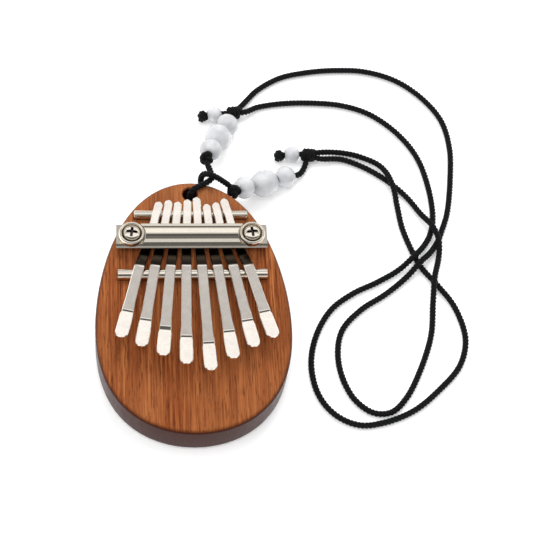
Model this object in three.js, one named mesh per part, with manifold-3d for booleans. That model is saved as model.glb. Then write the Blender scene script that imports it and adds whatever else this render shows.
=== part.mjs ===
// Eight-key pocket mbira (thumb piano) with a knotted neck lanyard.
// Millimetres, +Z up. Origin: middle of the board's underside. +Y points to the lanyard end, +X right.
import * as THREE from "three";
import { mergeVertices } from "three/addons/utils/BufferGeometryUtils.js";
import Module from "manifold-3d";

const wasm = await Module();
wasm.setup();

// ---- driving dimensions -------------------------------------------------------------------------
const GAP = 0.3; // air left between pieces that touch
const BOARD = { halfWidth: 29, halfLength: 40, thick: 11.5, edge: 1.5, taper: -0.14, belly: 0.06 };
const TOP = BOARD.thick;
const HOLE = { x: 0, y: 35.6, radius: 2.1 };
const CORD_CHANNEL = { width: 3.4, depth: 2.7, length: 16, angle: Math.atan2(3.6, 3) };

const SINK = 0.5; // how far the two rods sit into their grooves in the board
const REAR_ROD = { y: 28, radius: 1.2, length: 32.8 };
const FRONT_ROD = { y: 8.2, radius: 1.5, length: 42.6 };

const BAR = { length: 43.2, rear: 23.25, front: 16, tabTop: 3.4, tabFrom: 14.6, clear: 4.05 };
const SCREW = { x: 17.2, y: 19.6, headRadius: 2.4, shankRadius: 1.1, depth: 7 };
const WASHER = { radius: 3.75, rim: 3.2, floor: 0.7, height: 1.7 };

const TINE = {
  thick: 0.6,
  rearWidth: 2.35,
  stemWidth: 2.85,
  creaseWidth: 3.3,
  padWidth: 3.75,
  padLength: 9.3,
};
const TINE_REST = 0.35; // air between a tine and what it bears on
const TINE_DIP = 0.7; // height above the board of a tine's middle under the bar
const STEM_RISE = Math.tan(THREE.MathUtils.degToRad(5));
const PAD_RISE = Math.tan(THREE.MathUtils.degToRad(13));
// The tines fan out from the middle line: their spacing at the front rod, and how fast it grows
// with distance behind the rod (towards the tails) and ahead of it (towards the pads).
const FAN = { x: 0.35, spacing: 4.55, rearPitch: 0.083, frontPitch: 0.066 };
// Where each tine ends behind the rear rod, and where it creases into its thumb pad.
const TAILS = [30.9, 31.4, 30.9, 31.6, 32.3, 30.2, 30.7, 31.9];
const CREASES = [-5.0, -7.9, -10.6, -13.4, -15.5, -11.9, -8.4, -5.5];

const CORD = 0.875; // cord radius
const BEADS = { round: 3.2, tail: 2.5, barrel: 4.1, barrelLength: 9.0, bore: 1.45 };
const KNOTS = { arm: 1.9, slide: 2.1, slideLength: 5, stop: 1.5 };

// ---- materials ----------------------------------------------------------------------------------
const wood = new THREE.MeshStandardMaterial({ color: 0x9c4a26, roughness: 0.45, metalness: 0 });
const nickel = new THREE.MeshStandardMaterial({ color: 0xd2cfc8, roughness: 0.22, metalness: 1 });
const spring = new THREE.MeshStandardMaterial({ color: 0xb9b6b0, roughness: 0.35, metalness: 1 });
const cordBlack = new THREE.MeshStandardMaterial({ color: 0x101010, roughness: 0.9, metalness: 0 });
const milky = new THREE.MeshStandardMaterial({ color: 0xe4e6e6, roughness: 0.25, metalness: 0 });

const part = new THREE.Group();
part.name = "pocket_mbira";

function add(name, geometry, material) {
  const mesh = new THREE.Mesh(geometry, material);
  mesh.name = name;
  part.add(mesh);
  return mesh;
}

// ---- solids -------------------------------------------------------------------------------------
function toSolid(geometry) {
  const bare = geometry.index ? geometry.toNonIndexed() : geometry.clone();
  const points = new THREE.BufferGeometry().setAttribute("position", bare.getAttribute("position"));
  const merged = mergeVertices(points, 1e-4);
  return new wasm.Manifold(
    new wasm.Mesh({
      numProp: 3,
      vertProperties: merged.attributes.position.array,
      triVerts: new Uint32Array(merged.index.array),
    }),
  );
}

function toGeometry(solid) {
  const mesh = solid.getMesh();
  const geometry = new THREE.BufferGeometry();
  geometry.setAttribute("position", new THREE.BufferAttribute(mesh.vertProperties, 3));
  geometry.setIndex(new THREE.BufferAttribute(mesh.triVerts, 1));
  geometry.computeVertexNormals();
  return geometry;
}

function cylinder(radius, length, sides = 32) {
  return new THREE.CylinderGeometry(radius, radius, length, sides);
}

function upright(radius, bottom, top, x, y, sides = 32) {
  const shape = cylinder(radius, top - bottom, sides);
  return shape.rotateX(Math.PI / 2).translate(x, y, (top + bottom) / 2);
}

function lengthwise(radius, length, y, z, sides = 28) {
  return cylinder(radius, length, sides).rotateZ(Math.PI / 2).translate(0, y, z);
}

// A closed skin over a list of rings with equal point counts, capped at both ends.
function loft(rings) {
  const count = rings[0].length;
  const points = rings.flat();
  const index = [];
  for (let r = 0; r + 1 < rings.length; r += 1) {
    for (let i = 0; i < count; i += 1) {
      const a = r * count + i;
      const b = r * count + ((i + 1) % count);
      index.push(a, b, b + count, a, b + count, a + count);
    }
  }
  for (const [ring, flip] of [[0, true], [rings.length - 1, false]]) {
    const middle = new THREE.Vector3();
    rings[ring].forEach((p) => middle.addScaledVector(p, 1 / count));
    const hub = points.push(middle) - 1;
    for (let i = 0; i < count; i += 1) {
      const a = ring * count + i;
      const b = ring * count + ((i + 1) % count);
      index.push(...(flip ? [b, a, hub] : [a, b, hub]));
    }
  }
  const geometry = new THREE.BufferGeometry().setFromPoints(points);
  geometry.setIndex(index);
  geometry.computeVertexNormals();
  return geometry;
}

// ---- board --------------------------------------------------------------------------------------
function eggPoint(turn, inset) {
  const at = (t) => {
    const swell = 1 + BOARD.taper * Math.cos(t) + BOARD.belly * Math.cos(2 * t);
    return new THREE.Vector2(BOARD.halfWidth * Math.sin(t) * swell, BOARD.halfLength * Math.cos(t));
  };
  const along = at(turn + 1e-3).sub(at(turn - 1e-3)).normalize();
  return at(turn).addScaledVector(new THREE.Vector2(along.y, -along.x), inset);
}

function eggRing(inset, z, count = 80) {
  const ring = [];
  for (let i = 0; i < count; i += 1) {
    const p = eggPoint((-2 * Math.PI * i) / count, inset);
    ring.push(new THREE.Vector3(p.x, p.y, z));
  }
  return ring;
}

function makeBoard() {
  const rings = [];
  const quarter = [0, 30, 60, 90].map(THREE.MathUtils.degToRad);
  for (const a of quarter) {
    rings.push(eggRing(BOARD.edge * (1 - Math.sin(a)), BOARD.edge * (1 - Math.cos(a))));
  }
  for (const a of quarter.slice().reverse()) {
    rings.push(eggRing(BOARD.edge * (1 - Math.sin(a)), TOP - BOARD.edge * (1 - Math.cos(a))));
  }
  const groove = (rod) =>
    lengthwise(rod.radius + GAP, rod.length + 2 * GAP, rod.y, TOP - SINK + GAP + rod.radius);
  const channel = new THREE.BoxGeometry(CORD_CHANNEL.length, CORD_CHANNEL.width, CORD_CHANNEL.depth * 2)
    .translate(CORD_CHANNEL.length / 2 - HOLE.radius * 0.8, 0, 0)
    .rotateZ(CORD_CHANNEL.angle)
    .translate(HOLE.x, HOLE.y, 0);
  const cuts = [
    upright(HOLE.radius, -1, TOP + 1, HOLE.x, HOLE.y),
    channel,
    groove(REAR_ROD),
    groove(FRONT_ROD),
    ...[-1, 1].map((s) =>
      upright(SCREW.shankRadius + GAP, TOP - SCREW.depth - GAP, TOP + 1, s * SCREW.x, SCREW.y, 24),
    ),
  ];
  const solid = cuts.reduce((body, cut) => body.subtract(toSolid(cut)), toSolid(loft(rings)));
  add("board", toGeometry(solid), wood);
}

// ---- rods, pressure bar, washers and screws -----------------------------------------------------
function rodAxis(rod) {
  return TOP - SINK + GAP + rod.radius;
}

function rodTop(rod) {
  return rodAxis(rod) + rod.radius;
}

function makeRods() {
  add("rear_rod", lengthwise(REAR_ROD.radius, REAR_ROD.length, REAR_ROD.y, rodAxis(REAR_ROD)), nickel);
  add("front_rod", lengthwise(FRONT_ROD.radius, FRONT_ROD.length, FRONT_ROD.y, rodAxis(FRONT_ROD)), nickel);
}

function makeBar() {
  const under = TINE_DIP + TINE.thick / 2 + TINE_REST;
  // Section across the bar: Y, then height above the board.
  const section = [
    [17.3, under], [21.2, under], [22.6, 2.75], [BAR.rear, 2.8],
    [BAR.rear, 4.15], [23, 4.4], [22.2, 4.5], [21.95, 4.25], [21.7, 4.25],
    [21.45, 4.45], [19.7, 4.95], [19.3, 4.95], [18.9, 4.6], [18.2, 4.15],
    [17.3, 3.75], [16.5, 2.95], [BAR.front, 2.7], [BAR.front, 2.4],
  ];
  const ends = [-BAR.length / 2, BAR.length / 2];
  const rings = ends.map((x) => section.map(([y, z]) => new THREE.Vector3(x, y, TOP + z)));
  let solid = toSolid(loft(rings));
  for (const side of [-1, 1]) {
    const tab = new THREE.BoxGeometry(20, 20, 10)
      .translate(side * (BAR.tabFrom + 10), SCREW.y, TOP + BAR.tabTop + 5);
    const pocket = upright(BAR.clear, TOP + BAR.tabTop, TOP + 8, side * SCREW.x, SCREW.y);
    const hole = upright(SCREW.shankRadius + GAP, TOP, TOP + 8, side * SCREW.x, SCREW.y, 24);
    solid = solid.subtract(toSolid(tab)).subtract(toSolid(pocket)).subtract(toSolid(hole));
  }
  add("pressure_bar", toGeometry(solid), nickel);
}

function turned(profile, sides = 28) {
  const points = profile.map(([r, z]) => new THREE.Vector2(r, z));
  return new THREE.LatheGeometry([...points, points[0]], sides).rotateX(Math.PI / 2);
}

function makeFastener(side, name) {
  const seat = TOP + BAR.tabTop + GAP;
  const washer = turned([
    [SCREW.shankRadius + GAP, 0],
    [WASHER.radius, 0],
    [WASHER.radius, WASHER.height - 0.45],
    [WASHER.radius - 0.25, WASHER.height],
    [WASHER.rim, WASHER.height],
    [WASHER.rim - 0.35, WASHER.floor],
    [SCREW.shankRadius + GAP, WASHER.floor],
  ]);
  add(`${name}_cup_washer`, washer.translate(side * SCREW.x, SCREW.y, seat), nickel);

  const under = WASHER.floor + GAP;
  const head = turned([
    [0, -SCREW.depth - BAR.tabTop],
    [SCREW.shankRadius * 0.4, -SCREW.depth - BAR.tabTop],
    [SCREW.shankRadius, -SCREW.depth - BAR.tabTop + 1.6],
    [SCREW.shankRadius, under],
    [SCREW.headRadius, under],
    [SCREW.headRadius, under + 0.55],
    [SCREW.headRadius * 0.86, under + 0.95],
    [SCREW.headRadius * 0.55, under + 1.2],
    [0, under + 1.3],
  ]);
  const arms = [[2.5, 0.6], [0.6, 2.5]].map(([x, y]) =>
    toSolid(new THREE.BoxGeometry(x, y, 1.8).translate(0, 0, under + 1.3)),
  );
  const solid = arms.reduce((body, arm) => body.subtract(arm), toSolid(head));
  const screw = toGeometry(solid).rotateZ(side * 0.12);
  add(`${name}_screw`, screw.translate(side * SCREW.x, SCREW.y, seat), nickel);
}

// ---- tines --------------------------------------------------------------------------------------
// A flat strip along u, the distance from the fan's centre. Stations are [u, z, half width].
function strip(stations) {
  const rings = stations.map(([u, z, half], i) => {
    const before = stations[Math.max(i - 1, 0)];
    const after = stations[Math.min(i + 1, stations.length - 1)];
    const slope = Math.atan2(after[1] - before[1], after[0] - before[0]);
    const du = -Math.sin(slope) * (TINE.thick / 2);
    const dz = Math.cos(slope) * (TINE.thick / 2);
    return [
      new THREE.Vector3(u - du, half, z - dz),
      new THREE.Vector3(u + du, half, z + dz),
      new THREE.Vector3(u + du, -half, z + dz),
      new THREE.Vector3(u - du, -half, z - dz),
    ];
  });
  return loft(rings);
}

// One half of a tine: straight in plan, on a line from the fan's centre for that half.
function tineLine(order, pitch) {
  const centre = FRONT_ROD.y + FAN.spacing / pitch;
  const lean = Math.atan((order - 3.5) * pitch);
  return {
    reach: (y) => (centre - y) / Math.cos(lean),
    place: (geometry) => geometry.rotateZ(lean - Math.PI / 2).translate(FAN.x, centre, 0),
  };
}

function makeTine(order) {
  const name = `tine_${order + 1}`;
  const rearHigh = rodTop(REAR_ROD) + TINE_REST + TINE.thick / 2;
  const frontHigh = rodTop(FRONT_ROD) + TINE_REST + TINE.thick / 2;
  const dip = TOP + TINE_DIP;
  const rear = TINE.rearWidth / 2;
  const stem = TINE.stemWidth / 2;
  const pad = TINE.padWidth / 2;

  const back = tineLine(order, FAN.rearPitch);
  const tail = back.reach(TAILS[order]);
  const tailHigh = rearHigh + (TAILS[order] - REAR_ROD.y) * 0.16;
  const root = [];
  for (const [share, width] of [[0, 0.45], [0.12, 0.72], [0.35, 0.92], [0.75, 1]]) {
    root.push([tail + share * rear, tailHigh, rear * width]);
  }
  root.push(
    [back.reach(REAR_ROD.y), rearHigh, rear],
    [back.reach(REAR_ROD.y - 0.9), rearHigh - 0.05, rear],
    [back.reach(23.4), dip + 0.7, rear],
    [back.reach(21.6), dip, rear],
    [back.reach(16.6), dip, (rear + stem) / 2],
    [back.reach(15.4), dip + 0.3, (rear + stem) / 2],
    [back.reach(FRONT_ROD.y + 1.9), frontHigh - 0.3, stem],
    [back.reach(FRONT_ROD.y + 1.3), frontHigh - 0.1, stem],
    [back.reach(FRONT_ROD.y) - GAP, frontHigh, stem],
  );
  add(`${name}_root`, back.place(strip(root)), spring);

  const ahead = tineLine(order, FAN.frontPitch);
  const hinge = ahead.reach(FRONT_ROD.y);
  const crease = ahead.reach(CREASES[order]);
  const creaseHigh = frontHigh + (crease - hinge) * STEM_RISE;
  const rise = (u) => creaseHigh + (u - crease) * PAD_RISE;
  const tip = crease + TINE.padLength;
  const blade = [
    [hinge + GAP, frontHigh + GAP * STEM_RISE, stem],
    [crease - 3, creaseHigh - 3 * STEM_RISE, stem * 1.08],
    [crease - 0.4, creaseHigh - 0.4 * STEM_RISE, TINE.creaseWidth / 2],
    [crease + 0.4, rise(crease + 0.4), TINE.creaseWidth / 2],
    [crease + 1.8, rise(crease + 1.8), pad],
  ];
  for (const [share, width] of [[1, 1], [0.5, 0.87], [0.2, 0.62], [0.04, 0.36]]) {
    blade.push([tip - share * pad, rise(tip - share * pad), pad * width]);
  }
  add(`${name}_blade`, ahead.place(strip(blade)), spring);
}

// ---- lanyard ------------------------------------------------------------------------------------
function tube(points, steps, sides = 8, radius = CORD) {
  const path = new THREE.CatmullRomCurve3(points.map((p) => new THREE.Vector3(...p)), false, "centripetal");
  const ring = new THREE.Shape();
  ring.absarc(0, 0, radius, 0, 2 * Math.PI, false);
  return new THREE.ExtrudeGeometry(ring, {
    steps,
    curveSegments: sides / 2,
    bevelEnabled: false,
    extrudePath: path,
  });
}

// A turned piece whose axis runs from one point towards another.
function threaded(profile, centre, towards, sides) {
  const axis = new THREE.Vector3(...towards).sub(new THREE.Vector3(...centre)).normalize();
  const turn = new THREE.Quaternion().setFromUnitVectors(new THREE.Vector3(0, 0, 1), axis);
  return turned(profile, sides).applyQuaternion(turn).translate(...centre);
}

function ballProfile(radius, half, bore, steps = 8) {
  const end = Math.acos(Math.min(1, bore / radius));
  const profile = [];
  for (let k = 0; k <= steps; k += 1) {
    const a = -end + (2 * end * k) / steps;
    profile.push([radius * Math.cos(a), half * Math.sin(a)]);
  }
  return profile;
}

// The bore follows the line between the two pieces that the bead hangs between.
function makeBead(name, before, centre, after, radius, half) {
  const towards = centre.map((value, k) => value + after[k] - before[k]);
  add(name, threaded(ballProfile(radius, half, BEADS.bore), centre, towards, 16), milky);
}

function makeKnot(name, centre, towards, radius, half) {
  const profile = ballProfile(radius, half, 0, 6);
  profile[0][0] = 0;
  profile[profile.length - 1][0] = 0;
  add(name, threaded(profile, centre, towards, 12), cordBlack);
}

const ARMS = {
  left: {
    armKnot: [5.4, 48.9, 10.3],
    lower: [7.0, 53.2, 8.5],
    barrel: [9.6, 59.4, 5.3],
    upper: [12.8, 65.6, 3.4],
    slide: [14.9, 70.6, 2.4],
    tail: [9.0, 69.9, 2.6],
    stop: [5.4, 69.5, 2.0],
  },
  right: {
    armKnot: [13.3, 37.9, 9.4],
    lower: [16.6, 40.7, 7.0],
    barrel: [23.0, 43.6, 4.7],
    upper: [29.6, 46.6, 3.4],
    slide: [37.4, 55.3, 2.3],
    tail: [32.2, 55.4, 2.6],
    stop: [28.3, 55.1, 2.0],
  },
};

function makeArm(side, at) {
  const { round, tail, barrel, barrelLength } = BEADS;
  makeKnot(`arm_knot_${side}`, at.armKnot, at.lower, KNOTS.arm, KNOTS.arm);
  makeBead(`lower_bead_${side}`, at.armKnot, at.lower, at.barrel, round, round);
  makeBead(`barrel_bead_${side}`, at.lower, at.barrel, at.upper, barrel, barrelLength / 2);
  makeBead(`upper_bead_${side}`, at.barrel, at.upper, at.upper, round, round);
  makeBead(`tail_bead_${side}`, at.slide, at.tail, at.stop, tail, tail);
  makeKnot(`slide_knot_${side}`, at.slide, at.tail, KNOTS.slide, KNOTS.slideLength / 2);
  makeKnot(`stop_knot_${side}`, at.stop, at.tail, KNOTS.stop, KNOTS.stop);
}

function makeCords() {
  // One end of the cord rises from the hole and crosses the board's top. The other goes down the
  // hole, under the board, up round its end, and over the first where the two arms part.
  add("hitch_cord_left", tube([
    [0, 35.6, 8.6], [0, 35.6, 10.6], [0.4, 36.0, 12.2], [1.8, 37.0, 12.8], [3.8, 38.2, 12.6],
    [5.4, 39.2, 12.6], [6.5, 40.4, 12.3], [6.6, 42.4, 11.6], [6.2, 44.4, 11.1], [5.6, 46.8, 10.7],
  ], 26), cordBlack);
  add("hitch_cord_right", tube([
    [3.9, 42.2, 5.5], [3.6, 42.2, 8.0], [3.7, 42.1, 10.8], [4.5, 41.5, 13.3], [6.0, 40.5, 14.6],
    [7.7, 39.9, 14.1], [9.5, 39.7, 12.5], [11.8, 39.2, 10.4],
  ], 24), cordBlack);
  add("hitch_bight", tube([
    [0, 35.6, 8.3], [0, 35.6, 4.6], [0.5, 36.1, 2.0], [1.7, 37.5, 1.05], [3.0, 39.2, 1.05],
    [3.8, 40.7, 1.3], [4.1, 41.9, 2.6], [3.9, 42.2, 5.2],
  ], 26), cordBlack);
  add("bead_cord_left", tube([
    [6.1, 50.8, 9.5], ARMS.left.lower, ARMS.left.barrel, ARMS.left.upper, [13.9, 68.1, 2.9],
  ], 16), cordBlack);
  add("bead_cord_right", tube([
    [14.8, 39.1, 8.3], ARMS.right.lower, ARMS.right.barrel, ARMS.right.upper,
    [32.3, 47.6, 2.5], [34.4, 48.9, 1.6], [35.6, 50.6, 1.4], [36.4, 52.5, 1.9],
  ], 26), cordBlack);
  add("tail_cord_left", tube([[12.1, 70.35, 2.5], ARMS.left.tail, [7.2, 69.65, 2.3]], 4), cordBlack);
  add("tail_cord_right", tube([[34.6, 55.35, 2.45], ARMS.right.tail, [30.1, 55.2, 2.3]], 4), cordBlack);
  // The strand that runs outside at the far end of the neck loop and inside at its near end.
  add("neck_cord_outer", tube([
    [17.4, 73.2, 2.1], [19.6, 76.3, 1.2], [22.9, 80.1, 1.0], [30.3, 84.9, 1.0], [38.6, 87.1, 1.0],
    [47.6, 88.1, 1.0], [57.8, 87.7, 1.0], [67.5, 84.2, 1.0], [75.4, 77.4, 1.0], [80.5, 69.2, 1.0],
    [82.1, 59.0, 1.0], [81.2, 48.5, 1.0], [78.8, 35.5, 1.0], [76.6, 29.5, 1.0], [74.7, 25.2, 1.0],
    [71.9, 21.0, 2.0], [68.7, 17.6, 3.0], [64.0, 13.0, 1.4], [57.5, 7.7, 1.0], [49.4, 2.3, 1.0],
    [43.6, -4.0, 1.0], [41.7, -11.0, 1.0], [42.4, -19.2, 1.0], [45.6, -26.4, 1.0], [50.5, -30.3, 1.0],
    [55.6, -30.2, 1.0], [60.2, -26.0, 1.0], [65.3, -17.0, 1.0], [69.6, -5.7, 1.0], [71.1, 4.5, 1.5],
    [72.2, 12.3, 3.1], [74.3, 19.5, 2.2], [74.7, 24.6, 3.1], [73.4, 29.4, 3.1], [70.4, 35.0, 1.4],
    [66.8, 41.0, 1.0], [61.8, 46.4, 1.0], [54.6, 51.6, 1.0], [47.8, 54.4, 1.2], [40.8, 54.2, 2.0],
  ], 80), cordBlack);
  // Its partner, which crosses it twice and makes the larger near loop.
  add("neck_cord_inner", tube([
    [18.7, 71.2, 2.1], [22.8, 73.7, 1.1], [30.5, 75.2, 1.0], [40.1, 75.5, 1.0], [49.4, 74.6, 1.0],
    [57.8, 71.4, 1.0], [65.6, 64.7, 1.0], [71.1, 56.1, 1.0], [73.7, 45.8, 1.0], [74.2, 34.0, 1.0],
    [72.8, 28.0, 1.0], [70.0, 23.1, 2.0], [66.6, 19.2, 3.0], [61.7, 15.3, 1.5], [55.0, 11.5, 1.0],
    [47.7, 7.9, 1.0], [40.7, 2.5, 1.0], [35.7, -6.0, 1.0], [33.7, -15.4, 1.0], [35.3, -24.8, 1.0],
    [39.7, -30.9, 1.0], [46.2, -34.0, 1.0], [53.5, -33.3, 1.0], [62.2, -29.8, 1.0], [70.1, -23.5, 1.0],
    [77.0, -15.8, 1.0], [79.6, -7.2, 1.0], [77.5, 3.2, 1.0], [72.8, 11.0, 1.0], [68.8, 16.7, 1.0],
    [66.5, 22.5, 1.0], [64.4, 30.2, 1.0], [63.5, 37.3, 1.5], [62.3, 44.7, 3.1], [59.6, 51.8, 1.5],
    [53.5, 55.6, 1.0], [47.5, 56.9, 1.2], [40.6, 56.4, 2.0],
  ], 80), cordBlack);
}

makeBoard();
makeRods();
makeBar();
makeFastener(-1, "left");
makeFastener(1, "right");
for (let order = 0; order < 8; order += 1) {
  makeTine(order);
}
makeArm("left", ARMS.left);
makeArm("right", ARMS.right);
makeCords();

export default part;
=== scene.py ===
"""Looks of an eight-key pocket mbira on its beaded neck cord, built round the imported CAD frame.

Metres, +Z up, +Y towards the lanyard end. MM turns the CAD's millimetres into metres.
"""
import math

import bpy
from mathutils import Matrix, Vector


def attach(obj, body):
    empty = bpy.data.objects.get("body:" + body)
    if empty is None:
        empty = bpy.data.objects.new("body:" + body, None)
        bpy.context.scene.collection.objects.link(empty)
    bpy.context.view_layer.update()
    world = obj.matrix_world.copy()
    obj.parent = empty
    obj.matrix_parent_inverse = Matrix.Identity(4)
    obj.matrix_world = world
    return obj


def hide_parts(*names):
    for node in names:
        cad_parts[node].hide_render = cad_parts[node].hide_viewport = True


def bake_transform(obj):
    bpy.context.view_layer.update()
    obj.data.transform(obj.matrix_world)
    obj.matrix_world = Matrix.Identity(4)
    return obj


MM = 0.001
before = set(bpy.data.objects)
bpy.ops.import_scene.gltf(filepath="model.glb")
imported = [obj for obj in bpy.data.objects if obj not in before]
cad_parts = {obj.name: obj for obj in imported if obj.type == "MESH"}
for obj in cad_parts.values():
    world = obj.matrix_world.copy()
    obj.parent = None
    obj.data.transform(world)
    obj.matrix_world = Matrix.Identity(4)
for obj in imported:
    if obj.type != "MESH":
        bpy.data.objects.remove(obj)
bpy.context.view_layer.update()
BODY = "instrument"

# ---- sizes shared with the CAD, in millimetres ----------------------------------------------------
GAP = 0.3
BOARD = {"half_width": 29, "half_length": 40, "thick": 11.5, "edge": 1.5, "taper": -0.14, "belly": 0.06}
TOP = BOARD["thick"]
HOLE = {"x": 0, "y": 35.6, "radius": 2.1}
CHANNEL = {"width": 3.4, "depth": 2.7, "length": 16, "angle": math.atan2(3.6, 3)}
SINK = 0.5
REAR_ROD = {"y": 28, "radius": 1.2, "length": 32.8}
FRONT_ROD = {"y": 8.2, "radius": 1.5, "length": 42.6}
BAR = {"tab_top": 3.4}
SCREW = {"x": 17.2, "y": 19.6, "head": 2.4, "shank": 1.1, "depth": 7}
WASHER = {"radius": 3.75, "rim": 3.2, "floor": 0.7, "height": 1.7}
TINE = {
    "thick": 0.6, "rear": 2.35, "stem": 2.85, "crease": 3.3, "pad": 3.75, "pad_length": 9.3,
    "rest": 0.35, "dip": 0.7,
}
STEM_RISE = math.tan(math.radians(5))
PAD_RISE = math.tan(math.radians(13))
FAN = {"x": 0.35, "spacing": 4.55, "rear_pitch": 0.083, "front_pitch": 0.066}
TAILS = [30.9, 31.4, 30.9, 31.6, 32.3, 30.2, 30.7, 31.9]
CREASES = [-5.0, -7.9, -10.6, -13.4, -15.5, -11.9, -8.4, -5.5]
CORD_RADIUS = 0.875
BEAD_BORE = 1.0
BEAD_HALVES = {"round": (3.4, 3.1), "barrel": (4.1, 4.5), "tail": (2.5, 2.5)}  # across and along


# ---- camera ---------------------------------------------------------------------------------------
def place_camera():
    azimuth, elevation, roll = (math.radians(a) for a in (-13.2, 61.0, 11.3))
    distance = 0.450
    side, rise = 0.02466, 0.0089  # how far the board sits left of and below the picture's middle
    back = Vector((math.sin(azimuth) * math.cos(elevation), -math.cos(azimuth) * math.cos(elevation),
                   math.sin(elevation)))
    level = Vector((math.cos(azimuth), math.sin(azimuth), 0))
    upright = back.cross(level)
    right = level * math.cos(roll) + upright * math.sin(roll)
    up = upright * math.cos(roll) - level * math.sin(roll)
    camera = bpy.data.objects.new("camera", bpy.data.cameras.new("camera"))
    bpy.context.scene.collection.objects.link(camera)
    turn = Matrix((right, up, back)).transposed().to_4x4()
    where = Vector((0, 0, TOP / 2 * MM)) + back * distance + right * side + up * rise
    camera.matrix_world = Matrix.Translation(where) @ turn
    camera.data.lens = 101.3
    camera.data.clip_start = 0.01
    bpy.context.scene.camera = camera


place_camera()


# ---- materials ------------------------------------------------------------------------------------
class Nodes:
    """A material's node tree with short ways to add and join nodes."""

    def __init__(self, name, color, roughness, metallic=0.0):
        self.material = bpy.data.materials.new(name)
        self.material.use_nodes = True
        self.tree = self.material.node_tree
        self.shader = self.tree.nodes["Principled BSDF"]
        self.shader.inputs["Base Color"].default_value = (*color, 1)
        self.shader.inputs["Roughness"].default_value = roughness
        self.shader.inputs["Metallic"].default_value = metallic

    def node(self, kind, **values):
        made = self.tree.nodes.new(kind)
        for key, value in values.items():
            if key in made.inputs:
                made.inputs[key].default_value = value
            else:
                setattr(made, key, value)
        return made

    def link(self, source, target):
        self.tree.links.new(source, target)

    def coords(self, scale):
        place = self.node("ShaderNodeTexCoord")
        stretch = self.node("ShaderNodeMapping")
        stretch.inputs["Scale"].default_value = scale
        self.link(place.outputs["Object"], stretch.inputs["Vector"])
        return stretch.outputs["Vector"]

    def noise(self, stretch, detail, roughness=0.55):
        """Noise in the object's own space, with so many cells to the metre along X, Y and Z."""
        made = self.node("ShaderNodeTexNoise", Scale=1.0, Detail=detail, Roughness=roughness)
        self.link(self.coords(stretch), made.inputs["Vector"])
        return made.outputs["Fac"]

    def part_of(self, kind, output, axis):
        """One axis of a vector that another node gives."""
        apart = self.node("ShaderNodeSeparateXYZ")
        self.link(self.node(kind).outputs[output], apart.inputs[0])
        return apart.outputs[axis]

    def ramp(self, factor, stops):
        made = self.node("ShaderNodeValToRGB")
        while len(made.color_ramp.elements) < len(stops):
            made.color_ramp.elements.new(0.5)
        for element, (position, color) in zip(made.color_ramp.elements, stops):
            element.position = position
            element.color = (*color, 1) if len(color) == 3 else color
        self.link(factor, made.inputs["Fac"])
        return made.outputs["Color"]

    def mix(self, factor, one, two):
        made = self.node("ShaderNodeMix", data_type="RGBA")
        for socket, value in ((made.inputs[0], factor), (made.inputs[6], one), (made.inputs[7], two)):
            if isinstance(value, (int, float)):
                socket.default_value = value
            elif isinstance(value, tuple):
                socket.default_value = (*value, 1)
            else:
                self.link(value, socket)
        return made.outputs[2]

    def math(self, operation, one, two):
        made = self.node("ShaderNodeMath", operation=operation)
        for socket, value in zip(made.inputs, (one, two)):
            if isinstance(value, (int, float)):
                socket.default_value = value
            else:
                self.link(value, socket)
        return made.outputs[0]

    def bump(self, height, distance, strength=0.5):
        made = self.node("ShaderNodeBump", Strength=strength, Distance=distance)
        self.link(height, made.inputs["Height"])
        self.link(made.outputs["Normal"], self.shader.inputs["Normal"])


def wood_material():
    n = Nodes("board_wood", (0.22, 0.06, 0.02), 0.36)
    grain = n.noise((2100, 48, 300), 6, 0.66)
    streak = n.noise((330, 11, 90), 3, 0.5)
    blotch = n.noise((60, 30, 60), 2, 0.5)
    pores = n.noise((3600, 260, 1000), 2, 0.5)
    base = n.ramp(grain, [(0.34, (0.070, 0.014, 0.004)), (0.50, (0.245, 0.070, 0.021)),
                          (0.66, (0.42, 0.150, 0.048))])
    toned = n.mix(n.ramp(streak, [(0.36, (0, 0, 0)), (0.64, (0.45, 0.45, 0.45))]), base,
                  (0.130, 0.024, 0.006))
    warm = n.mix(n.ramp(blotch, [(0.38, (0, 0, 0)), (0.62, (0.45, 0.45, 0.45))]), toned,
                 (0.30, 0.105, 0.036))
    dotted = n.mix(n.ramp(pores, [(0.57, (0, 0, 0)), (0.66, (0.55, 0.55, 0.55))]), warm,
                   (0.045, 0.010, 0.004))
    # Painted sheen: the colour grows lighter towards the lanyard end, standing in for the glossy reflection
    # over the face.
    along = n.math("MULTIPLY", n.part_of("ShaderNodeTexCoord", "Object", "Y"), 10.0)
    painted_sheen_mask = n.ramp(along, [(0.05, (0, 0, 0)), (0.42, (0.2, 0.2, 0.2))])
    with_painted_sheen = n.mix(painted_sheen_mask, dotted, (0.36, 0.16, 0.070))
    # Painted shade: faces that turn to the side get a much darker colour than the face on top.
    facing = n.part_of("ShaderNodeNewGeometry", "Normal", "Z")
    side = n.ramp(facing, [(0.45, (1, 1, 1)), (0.93, (0, 0, 0))])
    n.link(n.mix(side, with_painted_sheen, (0.034, 0.0048, 0.0018)), n.shader.inputs["Base Color"])
    n.link(n.ramp(grain, [(0.3, (0.40, 0.40, 0.40)), (0.7, (0.28, 0.28, 0.28))]),
           n.shader.inputs["Roughness"])
    n.shader.inputs["Specular IOR Level"].default_value = 0.12
    n.shader.inputs["Specular Tint"].default_value = (1.0, 0.46, 0.32, 1)
    n.bump(n.math("ADD", grain, pores), 0.00006, 0.35)
    return n.material


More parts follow.
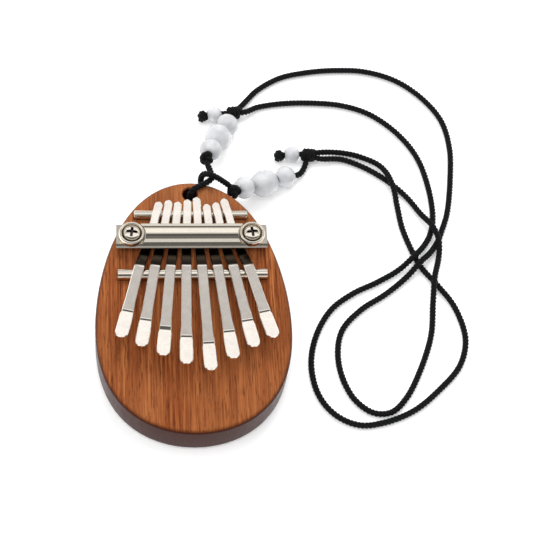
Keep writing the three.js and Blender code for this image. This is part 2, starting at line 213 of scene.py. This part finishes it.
def metal_material(name, color, roughness, mottle, darkened=None):
    """Plated metal: faint clouds in the plating and fine pits, as deep as mottle says."""
    n = Nodes(name, color, roughness, 1.0)
    cloud = n.noise((420, 420, 420), 3)
    speck = n.noise((1500, 1500, 1500), 3, 0.7)
    n.link(n.ramp(cloud, [(0.3, (roughness * 0.8,) * 3), (0.7, (roughness * 1.25,) * 3)]),
           n.shader.inputs["Roughness"])
    dark = tuple(c * (1 - mottle) for c in color)
    plated = n.mix(n.ramp(speck, [(0.45, (0, 0, 0)), (0.75, (1, 1, 1))]), color, dark)
    if darkened:
        # A band between two places along Y, in millimetres, stands in for the dark things it mirrors.
        spread, fade = 20.0, 0.012
        along = n.math("MULTIPLY", n.part_of("ShaderNodeTexCoord", "Object", "Y"), spread)
        near, far = (y * MM * spread for y in darkened)
        band = [(near, (0, 0, 0)), (near + fade, (1, 1, 1)), (far - fade, (1, 1, 1)), (far, (0, 0, 0))]
        plated = n.mix(n.ramp(along, band), plated, (0.055, 0.042, 0.032))
    n.link(plated, n.shader.inputs["Base Color"])
    n.bump(speck, 0.00001, 0.1 + mottle * 0.6)
    return n.material


def cord_material():
    n = Nodes("black_cord", (0.006, 0.006, 0.007), 0.72)
    fuzz = n.noise((5200, 5200, 5200), 3)
    n.link(n.ramp(fuzz, [(0.35, (0.0015, 0.0015, 0.0018)), (0.7, (0.007, 0.007, 0.008))]),
           n.shader.inputs["Base Color"])
    n.shader.inputs["Specular IOR Level"].default_value = 0.15
    n.shader.inputs["Sheen Weight"].default_value = 0.03
    n.shader.inputs["Sheen Roughness"].default_value = 0.5
    n.bump(fuzz, 0.00008, 0.5)
    return n.material


def bead_material():
    n = Nodes("milky_bead", (0.8, 0.8, 0.82), 0.16)
    swirl = n.noise((260, 260, 260), 3)
    n.link(n.ramp(swirl, [(0.32, (0.66, 0.67, 0.69)), (0.66, (0.84, 0.84, 0.86))]),
           n.shader.inputs["Base Color"])
    n.shader.inputs["Transmission Weight"].default_value = 0.45
    n.shader.inputs["IOR"].default_value = 1.45
    n.shader.inputs["Subsurface Weight"].default_value = 0.5
    n.shader.inputs["Subsurface Radius"].default_value = (1, 1, 1)
    n.shader.inputs["Subsurface Scale"].default_value = 0.002
    n.shader.inputs["Coat Weight"].default_value = 0.2
    return n.material


WOOD = wood_material()
NICKEL = metal_material("polished_nickel", (0.79, 0.725, 0.625), 0.13, 0.06)
DARK_STRETCH = (FRONT_ROD["y"] + FRONT_ROD["radius"], 17.5)  # from the front rod to under the bar
STEEL = metal_material("tine_steel", (0.85, 0.79, 0.72), 0.20, 0.09, darkened=DARK_STRETCH)
# Painted shade: a near-black metal for the faces of the cross recess, standing in for the shade inside it.
RECESS_SHADE = metal_material("screw_recess_painted_shade", (0.10, 0.085, 0.07), 0.4, 0.2)
CORD = cord_material()
BEAD = bead_material()


# ---- mesh helpers ---------------------------------------------------------------------------------
def piece(name, vertices, faces, material, body, sharp=35):
    mesh = bpy.data.meshes.new(name)
    mesh.from_pydata([tuple(Vector(v) * MM) for v in vertices], [], faces)
    mesh.update()
    mesh.polygons.foreach_set("use_smooth", [True] * len(mesh.polygons))
    mesh.set_sharp_from_angle(angle=math.radians(sharp))
    mesh.materials.append(material)
    obj = bpy.data.objects.new(name, mesh)
    bpy.context.scene.collection.objects.link(obj)
    if body:
        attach(obj, body)
    return obj


def skin(rings, closed=False):
    """Vertices and faces of a closed skin over rings with equal point counts."""
    count = len(rings[0])
    vertices = [p for ring in rings for p in ring]
    faces = []
    spans = len(rings) if closed else len(rings) - 1
    for r in range(spans):
        for i in range(count):
            a, b = r * count + i, r * count + (i + 1) % count
            step = count if r + 1 < len(rings) else -r * count
            faces.append((a, b, b + step, a + step))
    if not closed:
        last = (len(rings) - 1) * count
        faces.append(tuple(reversed(range(count))))
        faces.append(tuple(range(last, last + count)))
    return vertices, faces


def spline(points, step):
    """Points about step apart on a centripetal Catmull-Rom curve through the given points."""
    pts = [Vector(p) for p in points]
    pts = [pts[0] * 2 - pts[1], *pts, pts[-1] * 2 - pts[-2]]
    fine = []
    for k in range(1, len(pts) - 2):
        p0, p1, p2, p3 = pts[k - 1:k + 3]
        t0 = 0.0
        t1 = t0 + math.sqrt((p1 - p0).length)
        t2 = t1 + math.sqrt((p2 - p1).length)
        t3 = t2 + math.sqrt((p3 - p2).length)
        parts = max(2, round((p2 - p1).length / step))
        for j in range(parts):
            t = t1 + (t2 - t1) * j / parts
            a1 = p0 * ((t1 - t) / (t1 - t0)) + p1 * ((t - t0) / (t1 - t0))
            a2 = p1 * ((t2 - t) / (t2 - t1)) + p2 * ((t - t1) / (t2 - t1))
            a3 = p2 * ((t3 - t) / (t3 - t2)) + p3 * ((t - t2) / (t3 - t2))
            b1 = a1 * ((t2 - t) / (t2 - t0)) + a2 * ((t - t0) / (t2 - t0))
            b2 = a2 * ((t3 - t) / (t3 - t1)) + a3 * ((t - t1) / (t3 - t1))
            fine.append(b1 * ((t2 - t) / (t2 - t1)) + b2 * ((t - t1) / (t2 - t1)))
    fine.append(pts[-2])
    return fine


def rope_rings(path, radius, pitch=2.2, lobes=2, sides=18):
    """Rings of a twisted rope: a lobed section that turns once per pitch along the path."""
    normal = Vector((0, 0, 1))
    rings, walked = [], 0.0
    for i, point in enumerate(path):
        ahead = path[min(i + 1, len(path) - 1)] - path[max(i - 1, 0)]
        ahead.normalize()
        normal = (normal - ahead * normal.dot(ahead)).normalized()
        across = ahead.cross(normal)
        if i:
            walked += (point - path[i - 1]).length
        turn = 2 * math.pi * walked / pitch
        ring = []
        for k in range(sides):
            a = 2 * math.pi * k / sides
            ply = abs(math.cos(lobes * (a - turn) / 2))
            r = radius * (0.72 + 0.36 * ply ** 0.8)
            ring.append(point + (normal * math.cos(a) + across * math.sin(a)) * r)
        rings.append(ring)
    return rings


def rope(name, path, radius, body, **form):
    vertices, faces = skin(rope_rings(path, radius, **form))
    return piece(name, vertices, faces, CORD, body, sharp=180)


# ---- lanyard routes, in the CAD's millimetres -----------------------------------------------------
ARMS = {
    "left": {
        "arm_knot": (5.4, 48.9, 10.3), "lower": (7.0, 53.2, 8.5), "barrel": (9.6, 59.4, 5.3),
        "upper": (12.8, 65.6, 3.4), "slide": (14.9, 70.6, 2.4), "tail": (9.0, 69.9, 2.6),
        "stop": (5.4, 69.5, 2.0),
    },
    "right": {
        "arm_knot": (13.3, 37.9, 9.4), "lower": (16.6, 40.7, 7.0), "barrel": (23.0, 43.6, 4.7),
        "upper": (29.6, 46.6, 3.4), "slide": (37.4, 55.3, 2.3), "tail": (32.2, 55.4, 2.6),
        "stop": (28.3, 55.1, 2.0),
    },
}
LEFT, RIGHT = ARMS["left"], ARMS["right"]
HITCH_LEFT = [
    (0, 35.6, 8.6), (0, 35.6, 10.6), (0.4, 36.0, 12.2), (1.8, 37.0, 12.8), (3.8, 38.2, 12.6),
    (5.4, 39.2, 12.6), (6.5, 40.4, 12.3), (6.6, 42.4, 11.6), (6.2, 44.4, 11.1), (5.6, 46.8, 10.7),
]
HITCH_RIGHT = [
    (3.9, 42.2, 5.5), (3.6, 42.2, 8.0), (3.7, 42.1, 10.8), (4.5, 41.5, 13.3), (6.0, 40.5, 14.6),
    (7.7, 39.9, 14.1), (9.5, 39.7, 12.5), (11.8, 39.2, 10.4),
]
BIGHT = [
    (0, 35.6, 8.3), (0, 35.6, 4.6), (0.5, 36.1, 2.0), (1.7, 37.5, 1.05), (3.0, 39.2, 1.05),
    (3.8, 40.7, 1.3), (4.1, 41.9, 2.6), (3.9, 42.2, 5.2),
]
NECK_OUTER = [
    (17.4, 73.2, 2.1), (19.6, 76.3, 1.2), (22.9, 80.1, 1.0), (30.3, 84.9, 1.0), (38.6, 87.1, 1.0),
    (47.6, 88.1, 1.0), (57.8, 87.7, 1.0), (67.5, 84.2, 1.0), (75.4, 77.4, 1.0), (80.5, 69.2, 1.0),
    (82.1, 59.0, 1.0), (81.2, 48.5, 1.0), (78.8, 35.5, 1.0), (76.6, 29.5, 1.0), (74.7, 25.2, 1.0),
    (71.9, 21.0, 2.0), (68.7, 17.6, 3.0), (64.0, 13.0, 1.4), (57.5, 7.7, 1.0), (49.4, 2.3, 1.0),
    (43.6, -4.0, 1.0), (41.7, -11.0, 1.0), (42.4, -19.2, 1.0), (45.6, -26.4, 1.0), (50.5, -30.3, 1.0),
    (55.6, -30.2, 1.0), (60.2, -26.0, 1.0), (65.3, -17.0, 1.0), (69.6, -5.7, 1.0), (71.1, 4.5, 1.5),
    (72.2, 12.3, 3.1), (74.3, 19.5, 2.2), (74.7, 24.6, 3.1), (73.4, 29.4, 3.1), (70.4, 35.0, 1.4),
    (66.8, 41.0, 1.0), (61.8, 46.4, 1.0), (54.6, 51.6, 1.0), (47.8, 54.4, 1.2), (40.8, 54.2, 2.0),
]
NECK_INNER = [
    (18.7, 71.2, 2.1), (22.8, 73.7, 1.1), (30.5, 75.2, 1.0), (40.1, 75.5, 1.0), (49.4, 74.6, 1.0),
    (57.8, 71.4, 1.0), (65.6, 64.7, 1.0), (71.1, 56.1, 1.0), (73.7, 45.8, 1.0), (74.2, 34.0, 1.0),
    (72.8, 28.0, 1.0), (70.0, 23.1, 2.0), (66.6, 19.2, 3.0), (61.7, 15.3, 1.5), (55.0, 11.5, 1.0),
    (47.7, 7.9, 1.0), (40.7, 2.5, 1.0), (35.7, -6.0, 1.0), (33.7, -15.4, 1.0), (35.3, -24.8, 1.0),
    (39.7, -30.9, 1.0), (46.2, -34.0, 1.0), (53.5, -33.3, 1.0), (62.2, -29.8, 1.0), (70.1, -23.5, 1.0),
    (77.0, -15.8, 1.0), (79.6, -7.2, 1.0), (77.5, 3.2, 1.0), (72.8, 11.0, 1.0), (68.8, 16.7, 1.0),
    (66.5, 22.5, 1.0), (64.4, 30.2, 1.0), (63.5, 37.3, 1.5), (62.3, 44.7, 3.1), (59.6, 51.8, 1.5),
    (53.5, 55.6, 1.0), (47.5, 56.9, 1.2), (40.6, 56.4, 2.0),
]
RIGHT_LOOP = [(32.3, 47.6, 2.5), (34.4, 48.9, 1.6), (35.6, 50.6, 1.4), (36.4, 52.5, 1.9)]


def make_cords():
    """The left cord rises from the hole and the right one from under the board's end.

    Each threads its arm's beads, goes through a sliding knot, rounds the neck loop, and ends at the
    other arm's stopper knot.
    """
    left = [*HITCH_LEFT, LEFT["arm_knot"], LEFT["lower"], LEFT["barrel"], LEFT["upper"], LEFT["slide"],
            *NECK_OUTER, RIGHT["slide"], RIGHT["tail"], RIGHT["stop"]]
    right = [*HITCH_RIGHT, RIGHT["arm_knot"], RIGHT["lower"], RIGHT["barrel"], RIGHT["upper"],
             *RIGHT_LOOP, RIGHT["slide"], *reversed(NECK_INNER), LEFT["slide"], LEFT["tail"], LEFT["stop"]]
    standing_for = {
        "cord_left": ("hitch_cord_left", "bead_cord_left", "neck_cord_outer", "tail_cord_right"),
        "cord_right": ("hitch_cord_right", "bead_cord_right", "neck_cord_inner", "tail_cord_left"),
    }
    made = {}
    for name, route in (("cord_left", left), ("cord_right", right)):
        path = spline(route, 0.2)
        obj = rope(name, path, CORD_RADIUS, BODY)
        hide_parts(*standing_for[name])
        made[name] = (obj, path)
    bight = rope("cord_bight", spline(BIGHT, 0.3), CORD_RADIUS, BODY)
    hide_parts("hitch_bight")
    return made


CORDS = make_cords()


# ---- knots ----------------------------------------------------------------------------------------
def frame_along(centre, towards):
    """A frame at centre whose Z axis points towards the second place."""
    axis = (Vector(towards) - Vector(centre)).normalized()
    turn = Vector((0, 0, 1)).rotation_difference(axis)
    return Matrix.Translation(Vector(centre)) @ turn.to_matrix().to_4x4()


def knot_rope(name, path, thick):
    obj = rope(name, path, thick, BODY, pitch=2.9, lobes=3)
    return obj


def overhand(name, centre, towards, size, thick):
    """A tight overhand knot: a trefoil of cord pulled into a ball."""
    place = frame_along(centre, towards)
    path = []
    steps = 96
    for k in range(steps + 1):
        a = 2 * math.pi * k / steps
        reach = size * (0.62 + 0.38 * math.cos(3 * a))
        path.append(place @ Vector((reach * math.cos(2 * a), reach * math.sin(2 * a),
                                    size * 0.62 * math.sin(3 * a))))
    return knot_rope(name, path, thick)


def sliding(name, centre, towards, reach, half, turns, thick):
    """A barrel knot: close turns of cord wound round the standing cord, with its tail tucked back."""
    place = frame_along(centre, towards)
    path = []
    steps = 40 * turns
    for k in range(steps + 1):
        a = 2 * math.pi * turns * k / steps
        z = -half + 2 * half * k / steps
        swell = 1 - 0.16 * (z / half) ** 2
        wobble = 1 + 0.07 * math.sin(2.3 * a)
        path.append(place @ Vector((reach * swell * wobble * math.cos(a), reach * swell * math.sin(a), z)))
    return knot_rope(name, path, thick)


def make_knots():
    for side, at in ARMS.items():
        knot = overhand(f"arm_tie_{side}", at["arm_knot"], at["lower"], size=1.35, thick=0.88)
        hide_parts(f"arm_knot_{side}")
        knot = overhand(f"stop_tie_{side}", at["stop"], at["tail"], size=1.12, thick=0.80)
        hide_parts(f"stop_knot_{side}")
        knot = sliding(f"slide_tie_{side}", at["slide"], at["tail"], reach=1.25, half=1.75, turns=4,
                       thick=0.85)
        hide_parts(f"slide_knot_{side}")


make_knots()


# ---- beads ----------------------------------------------------------------------------------------
def bead(name, before, centre, after, radius, half, node):
    """A turned bead with a rounded bore mouth, strung along the line between its neighbours."""
    direction = Vector(centre) + (Vector(after) - Vector(before))
    place = frame_along(centre, direction)
    mouth = math.acos(BEAD_BORE * 1.25 / radius)
    profile = []
    steps, sides = 28, 48
    for k in range(steps + 1):
        a = -mouth + 2 * mouth * k / steps
        profile.append((radius * math.cos(a), half * math.sin(a)))
    end = profile[-1][1]
    profile += [(BEAD_BORE * 1.06, end * 0.985), (BEAD_BORE, end * 0.93), (BEAD_BORE, 0),
                (BEAD_BORE, -end * 0.93), (BEAD_BORE * 1.06, -end * 0.985)]
    rings = []
    for k in range(sides):
        a = 2 * math.pi * k / sides
        rings.append([place @ Vector((r * math.cos(a), r * math.sin(a), z)) for r, z in profile])
    vertices, faces = skin(rings, closed=True)
    obj = piece(name, vertices, [tuple(reversed(f)) for f in faces], BEAD, BODY, sharp=60)
    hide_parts(node)


def make_beads():
    for side, at in ARMS.items():
        strung = [
            ("lower", "round", "arm_knot", "barrel"), ("barrel", "barrel", "lower", "upper"),
            ("upper", "round", "barrel", "upper"), ("tail", "tail", "slide", "stop"),
        ]
        for which, form, before, after in strung:
            radius, half = BEAD_HALVES[form]
            bead(f"{which}_bead_{side}_glossy", at[before], at[which], at[after], radius, half,
                 f"{which}_bead_{side}")


make_beads()


# ---- board ----------------------------------------------------------------------------------------
def egg_ring(inset, z, count=256):
    """The board's outline, set in from its edge, at height z."""
    def at(t):
        swell = 1 + BOARD["taper"] * math.cos(t) + BOARD["belly"] * math.cos(2 * t)
        return Vector((BOARD["half_width"] * math.sin(t) * swell, BOARD["half_length"] * math.cos(t), 0))

    ring = []
    for k in range(count):
        t = -2 * math.pi * k / count
        along = (at(t + 1e-3) - at(t - 1e-3)).normalized()
        p = at(t) + Vector((along.y, -along.x, 0)) * inset
        ring.append(Vector((p.x, p.y, z)))
    return ring


def disc(radius, z, x, y, sides=64):
    return [Vector((x + radius * math.cos(2 * math.pi * k / sides),
                    y + radius * math.sin(2 * math.pi * k / sides), z)) for k in range(sides)]


def cut(obj, rings, material=WOOD):
    """Cut a closed skin over rings out of the piece. The cut faces take the given material."""
    vertices, faces = skin(rings)
    tool = piece("cutter", vertices, faces, material, None)
    modifier = obj.modifiers.new("cut", "BOOLEAN")
    modifier.material_mode = "TRANSFER"
    modifier.operation = "DIFFERENCE"
    modifier.solver = "EXACT"
    modifier.object = tool
    bpy.context.view_layer.objects.active = obj
    bpy.ops.object.modifier_apply(modifier=modifier.name)
    bpy.data.objects.remove(tool)


def rod_axis(rod):
    return TOP - SINK + GAP + rod["radius"]


def make_board():
    rings = []
    edge = BOARD["edge"]
    arc = [math.radians(90 * k / 8) for k in range(9)]
    for a in arc:
        rings.append(egg_ring(edge * (1 - math.sin(a)), edge * (1 - math.cos(a))))
    for a in reversed(arc):
        rings.append(egg_ring(edge * (1 - math.sin(a)), TOP - edge * (1 - math.cos(a))))
    vertices, faces = skin(rings)
    board = piece("board_body", vertices, faces, WOOD, None)
    lead = 0.35  # the lanyard hole's mouth is eased
    cut(board, [disc(r, z, HOLE["x"], HOLE["y"]) for r, z in (
        (HOLE["radius"], -1), (HOLE["radius"], TOP - lead), (HOLE["radius"] + lead, TOP),
        (HOLE["radius"] + lead, TOP + 1))])
    for rod in (REAR_ROD, FRONT_ROD):
        half = rod["length"] / 2 + GAP
        ring = disc(rod["radius"] + GAP, 0, 0, 0)
        cut(board, [[Vector((x, rod["y"] + p.x, rod_axis(rod) + p.y)) for p in ring] for x in (-half, half)])
    for side in (-1, 1):
        cut(board, [disc(SCREW["shank"] + GAP, z, side * SCREW["x"], SCREW["y"])
                    for z in (TOP - SCREW["depth"] - GAP, TOP + 1)])
    spin = Matrix.Rotation(CHANNEL["angle"], 4, "Z")
    start, half = -HOLE["radius"] * 0.8, CHANNEL["width"] / 2
    origin = Vector((HOLE["x"], HOLE["y"], 0))
    corners = [(-1, -half), (CHANNEL["depth"], -half), (CHANNEL["depth"], half), (-1, half)]
    cut(board, [[spin @ Vector((x, y, z)) + origin for z, y in corners]
                for x in (start, start + CHANNEL["length"])])
    board.data.set_sharp_from_angle(angle=math.radians(35))
    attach(board, BODY)
    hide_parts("board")


make_board()


# ---- rods, bar, washers and screws -----------------------------------------------------------------
def make_rods():
    for rod, node in ((REAR_ROD, "rear_rod"), (FRONT_ROD, "front_rod")):
        half = rod["length"] / 2
        r = rod["radius"]
        rings = []
        for x, size in ((-half, r - 0.3), (-half + 0.08, r - 0.12), (-half + 0.3, r), (half - 0.3, r),
                        (half - 0.08, r - 0.12), (half, r - 0.3)):
            rings.append([Vector((x, rod["y"] + p.x, rod_axis(rod) + p.y)) for p in disc(size, 0, 0, 0, 48)])
        vertices, faces = skin(rings)
        obj = piece(f"{node}_polished", vertices, faces, NICKEL, BODY)
        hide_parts(node)


make_rods()


def finish_cad_bar():
    """The bar keeps its CAD mesh, with nickel and eased edges."""
    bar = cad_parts["pressure_bar"]
    bar.data.materials.clear()
    bar.data.materials.append(NICKEL)
    ease = bar.modifiers.new("eased_edges", "BEVEL")
    ease.width = 0.12 * MM
    ease.segments = 2
    ease.limit_method = "ANGLE"
    ease.angle_limit = math.radians(15)


finish_cad_bar()


def turned(profile, x, y, z, sides=72):
    """Rings of a closed profile of radius and height turned about a vertical axis."""
    rings = []
    for k in range(sides):
        a = -2 * math.pi * k / sides
        rings.append([Vector((x + r * math.cos(a), y + r * math.sin(a), z + h)) for r, h in profile])
    return rings


def make_fastener(side, name):
    """A pressed cup washer and a cross-head screw at one end of the bar."""
    x, y, seat = side * SCREW["x"], SCREW["y"], TOP + BAR["tab_top"] + GAP
    bore, rim, floor, height = SCREW["shank"] + GAP, WASHER["rim"], WASHER["floor"], WASHER["height"]
    wide = WASHER["radius"]
    profile = [(bore, 0), (wide - 0.12, 0), (wide, 0.12), (wide, 0.7)]
    lip = (wide - rim + 0.5) / 2
    for k in range(1, 12):
        a = math.pi * k / 12
        profile.append((wide - lip + lip * math.cos(a), 0.7 + (height - 0.7) * math.sin(a)))
    profile += [(wide - 2 * lip, floor + 0.1), (wide - 2 * lip - 0.1, floor), (bore, floor)]
    vertices, faces = skin(turned(profile, x, y, seat), closed=True)
    washer = piece(f"{name}_cup", vertices, faces, NICKEL, BODY, sharp=50)
    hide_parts(f"{name}_cup_washer")

    under, head, shank = floor + GAP, SCREW["head"], SCREW["shank"]
    tip = -SCREW["depth"] - BAR["tab_top"]
    shape = [(shank * 0.3, tip), (shank, tip + 1.6), (shank, under), (head - 0.08, under),
             (head, under + 0.08), (head, under + 0.5), (head * 0.93, under + 0.78),
             (head * 0.75, under + 1.05), (head * 0.5, under + 1.22), (head * 0.22, under + 1.3)]
    vertices, faces = skin([disc(r, seat + h, x, y) for r, h in shape])
    screw = piece(f"{name}_cross_head", vertices, faces, NICKEL, None)
    turn = side * 0.12
    for quarter in (0, 1):
        spin = Matrix.Translation((x, y, 0)) @ Matrix.Rotation(turn + quarter * math.pi / 2, 4, "Z")
        rings = []
        for z, long, wide in ((under + 0.2, 1.15, 0.24), (under + 2, 1.95, 0.5)):
            corners = [(-long, -wide), (long, -wide), (long, wide), (-long, wide)]
            rings.append([spin @ Vector((a, b, seat + z)) for a, b in corners])
        # The recess faces take the near-black metal of the painted shade.
        cut(screw, rings, RECESS_SHADE)
    screw.data.set_sharp_from_angle(angle=math.radians(35))
    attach(screw, BODY)
    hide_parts(f"{name}_screw")


make_fastener(-1, "left")
make_fastener(1, "right")


# ---- tines ----------------------------------------------------------------------------------------
def rounded(points, reaches):
    """The polyline with each inner corner turned by a short curve that starts reach before it."""
    path = [Vector(points[0])]
    for before, corner, after, reach in zip(points, points[1:], points[2:], reaches):
        before, corner, after = Vector(before), Vector(corner), Vector(after)
        start = corner + (before - corner).normalized() * reach
        end = corner + (after - corner).normalized() * reach
        for k in range(7):
            t = k / 6
            path.append(start * (1 - t) ** 2 + corner * 2 * t * (1 - t) + end * t ** 2)
    path.append(Vector(points[-1]))
    return path


def refine(path, step):
    """The same polyline with points no more than step apart."""
    fine = [path[0]]
    for a, b in zip(path, path[1:]):
        parts = max(1, math.ceil((b - a).length / step))
        fine += [a.lerp(b, k / parts) for k in range(1, parts + 1)]
    return fine


def blend_between(value, stops):
    """The level at value, eased between stops of a place and its level."""
    for (a, x), (b, y) in zip(stops, stops[1:]):
        if value <= b:
            t = max(0.0, min(1.0, (value - a) / (b - a)))
            return x + (y - x) * t * t * (3 - 2 * t)
    return stops[-1][1]


def tine_line(order, pitch):
    """One half of a tine: how far out it reaches at a given Y, and where its line lies."""
    centre = FRONT_ROD["y"] + FAN["spacing"] / pitch
    lean = math.atan((order - 3.5) * pitch)
    place = Matrix.Translation((FAN["x"], centre, 0)) @ Matrix.Rotation(lean - math.pi / 2, 4, "Z")
    return (lambda y: (centre - y) / math.cos(lean)), place


def round_end(half, share):
    """The half width where a share of a round end's length has been covered."""
    return half * math.sqrt(max(0.0, 1 - (1 - share) ** 2)) if share < 1 else half


def strip_rings(line, place, width):
    """Sections of a flat strip with eased edges along the points of one straight line."""
    half_thick, ease = TINE["thick"] / 2, 0.18
    rings = []
    for i, p in enumerate(line):
        ahead = (line[min(i + 1, len(line) - 1)] - line[max(i - 1, 0)]).normalized()
        up = Vector((-ahead.z, 0, ahead.x))
        half = max(width(p.x), 0.2)
        inner = max(half - ease, 0.05)
        section = [(inner, half_thick), (half, half_thick - ease), (half, ease - half_thick),
                   (inner, -half_thick), (-inner, -half_thick), (-half, ease - half_thick),
                   (-half, half_thick - ease), (-inner, half_thick)]
        rings.append([place @ (p + Vector((0, v, 0)) + up * h) for v, h in section])
    return rings


DIP = {"from": 22.0, "to": 16.0}  # where along Y the bar holds a tine down
ROUND_SHARES = [0.02, 0.06, 0.14, 0.26, 0.42, 0.62, 0.82]  # along a rounded end, from its tip
CREASE, DEEP_CREASE = (0.5, 0.38), (0.95, 0.7)  # how long and how deep the step at a pad is
DEEP_ORDER = 2  # the tine that is creased deeper than the rest


def make_tine(order):
    bearing = TINE["rest"] + TINE["thick"] / 2
    rear_high = rod_axis(REAR_ROD) + REAR_ROD["radius"] + bearing
    front_high = rod_axis(FRONT_ROD) + FRONT_ROD["radius"] + bearing
    dip = TOP + TINE["dip"]
    rear, stem, pressed, pad = (TINE[k] / 2 for k in ("rear", "stem", "crease", "pad"))

    reach, place = tine_line(order, FAN["rear_pitch"])
    tail, hinge = reach(TAILS[order]), reach(FRONT_ROD["y"])
    corners = [
        (tail, 0, rear_high + (TAILS[order] - REAR_ROD["y"]) * 0.16),
        (reach(REAR_ROD["y"] - 0.4), 0, rear_high),
        (reach(DIP["from"]), 0, dip),
        (reach(DIP["to"]), 0, dip),
        (reach(FRONT_ROD["y"] + 1.5), 0, front_high - 1.5 * STEM_RISE * 0.5),
        (hinge, 0, front_high),
    ]
    path = refine(rounded(corners, (0.9, 1.2, 0.8, 0.35)), 0.5)
    slope = (path[1] - path[0]).normalized()
    line = [path[0] + slope * (rear * e / slope.x) for e in ROUND_SHARES]
    line += [p for p in path if tail + rear < p.x < hinge - GAP]
    back_width = [(reach(21), rear), (reach(12.5), stem)]
    rings = strip_rings(line, place, lambda u: round_end(blend_between(u, back_width), (u - tail) / rear))

    reach, place = tine_line(order, FAN["front_pitch"])
    hinge, crease = reach(FRONT_ROD["y"]), reach(CREASES[order])
    high = front_high + (crease - hinge) * STEM_RISE
    long, drop = DEEP_CREASE if order == DEEP_ORDER else CREASE
    tip = crease + TINE["pad_length"]
    corners = [
        (hinge, 0, front_high),
        (crease - long / 2, 0, high),
        (crease + long / 2, 0, high - drop),
        (tip, 0, high - drop + (tip - crease - long / 2) * PAD_RISE),
    ]
    path = refine(rounded(corners, (0.1, 0.12)), 0.5)
    slope = (path[-1] - path[-2]).normalized()
    line = [p for p in path if hinge + GAP < p.x < tip - pad]
    line += [path[-1] - slope * (pad * e / slope.x) for e in reversed(ROUND_SHARES)]
    front_width = [(hinge, stem), (crease - 4, stem * 1.04), (crease - 0.3, pressed),
                   (crease + 1.6, pad), (tip, pad)]
    rings += strip_rings(line, place, lambda u: round_end(blend_between(u, front_width), (tip - u) / pad))

    vertices, faces = skin(rings)
    number = order + 1
    obj = piece(f"tine_{number}", vertices, faces, STEEL, None, sharp=24)
    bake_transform(obj)
    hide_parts(f"tine_{number}_root", f"tine_{number}_blade")


for tine_order in range(8):
    make_tine(tine_order)


# ---- cords: the pieces each cord carries, listed and not used further -----------------------------
def declare_cords():
    for name, near, far in (("cord_left", "left", "right"), ("cord_right", "right", "left")):
        on_it = [f"{which}_bead_{near}_glossy" for which in ("lower", "barrel", "upper")]
        on_it += [f"arm_tie_{near}", f"slide_tie_{far}", f"tail_bead_{far}_glossy", f"stop_tie_{far}"]


declare_cords()


# ---- floor and light ------------------------------------------------------------------------------
# A studio of long softboxes and black cards across the object: the angle from straight overhead,
# positive towards +Y, and how bright the surroundings are there.
STUDIO = [
    (-90, 0.9), (-75, 0.6), (-60, 0.10), (-45, 0.10), (-35, 0.18), (-24, 0.32), (-14, 1.2), (18, 1.2),
    (23, 0.55), (42, 0.60), (47, 1.25), (66, 1.25), (70, 0.05), (84, 0.05), (88, 1.0), (90, 1.0),
]


def sky_tree(tree):
    around = tree.nodes.new("ShaderNodeTexCoord")
    apart = tree.nodes.new("ShaderNodeSeparateXYZ")
    angle = tree.nodes.new("ShaderNodeMath")
    angle.operation = "ARCTAN2"
    spread = tree.nodes.new("ShaderNodeMapRange")
    spread.inputs["From Min"].default_value = -math.pi / 2
    spread.inputs["From Max"].default_value = math.pi / 2
    cards = tree.nodes.new("ShaderNodeValToRGB")
    brightest = max(level for _, level in STUDIO)
    while len(cards.color_ramp.elements) < len(STUDIO):
        cards.color_ramp.elements.new(0.5)
    for element, (degrees, level) in zip(cards.color_ramp.elements, STUDIO):
        element.position = (degrees + 90) / 180
        element.color = (*(level / brightest,) * 3, 1)
    tree.links.new(around.outputs["Generated"], apart.inputs[0])
    tree.links.new(apart.outputs["Y"], angle.inputs[0])
    tree.links.new(apart.outputs["Z"], angle.inputs[1])
    tree.links.new(angle.outputs[0], spread.inputs["Value"])
    tree.links.new(spread.outputs[0], cards.inputs["Fac"])
    tree.links.new(cards.outputs["Color"], tree.nodes["Background"].inputs["Color"])
    tree.nodes["Background"].inputs["Strength"].default_value = brightest


def floor_material():
    """White paper that glows a little, so that shadows on it stay pale."""
    n = Nodes("pale_floor", (0.93, 0.93, 0.93), 0.9)
    n.shader.inputs["Emission Color"].default_value = (1, 1, 1, 1)
    n.shader.inputs["Emission Strength"].default_value = 0.2
    return n.material


def make_stage():
    half = 4000
    floor = piece("floor", [(-half, -half, 0), (half, -half, 0), (half, half, 0), (-half, half, 0)],
                  [(0, 1, 2, 3)], floor_material(), None)
    floor.location.z = -0.2 * MM  # clear of the board's underside

    world = bpy.data.worlds.new("studio")
    world.use_nodes = True
    bpy.context.scene.world = world
    sky_tree(world.node_tree)

    def softbox(name, place, aim, size, power):
        data = bpy.data.lights.new(name, "AREA")
        data.shape = "RECTANGLE"
        data.size, data.size_y = size
        data.energy = power
        lamp = bpy.data.objects.new(name, data)
        bpy.context.scene.collection.objects.link(lamp)
        lamp.location = place
        lamp.rotation_euler = (Vector(aim) - Vector(place)).to_track_quat("-Z", "Y").to_euler()
        lamp.visible_glossy = False

    softbox("fill", (-0.35, -0.45, 1.0), (0.0, 0.0, 0.0), (1.2, 1.2), 8.0)
    softbox("key", (0.10, 0.55, 0.75), (0.0, 0.0, 0.0), (0.5, 0.4), 5.0)


make_stage()
bpy.context.scene.view_settings.view_transform = "Standard"
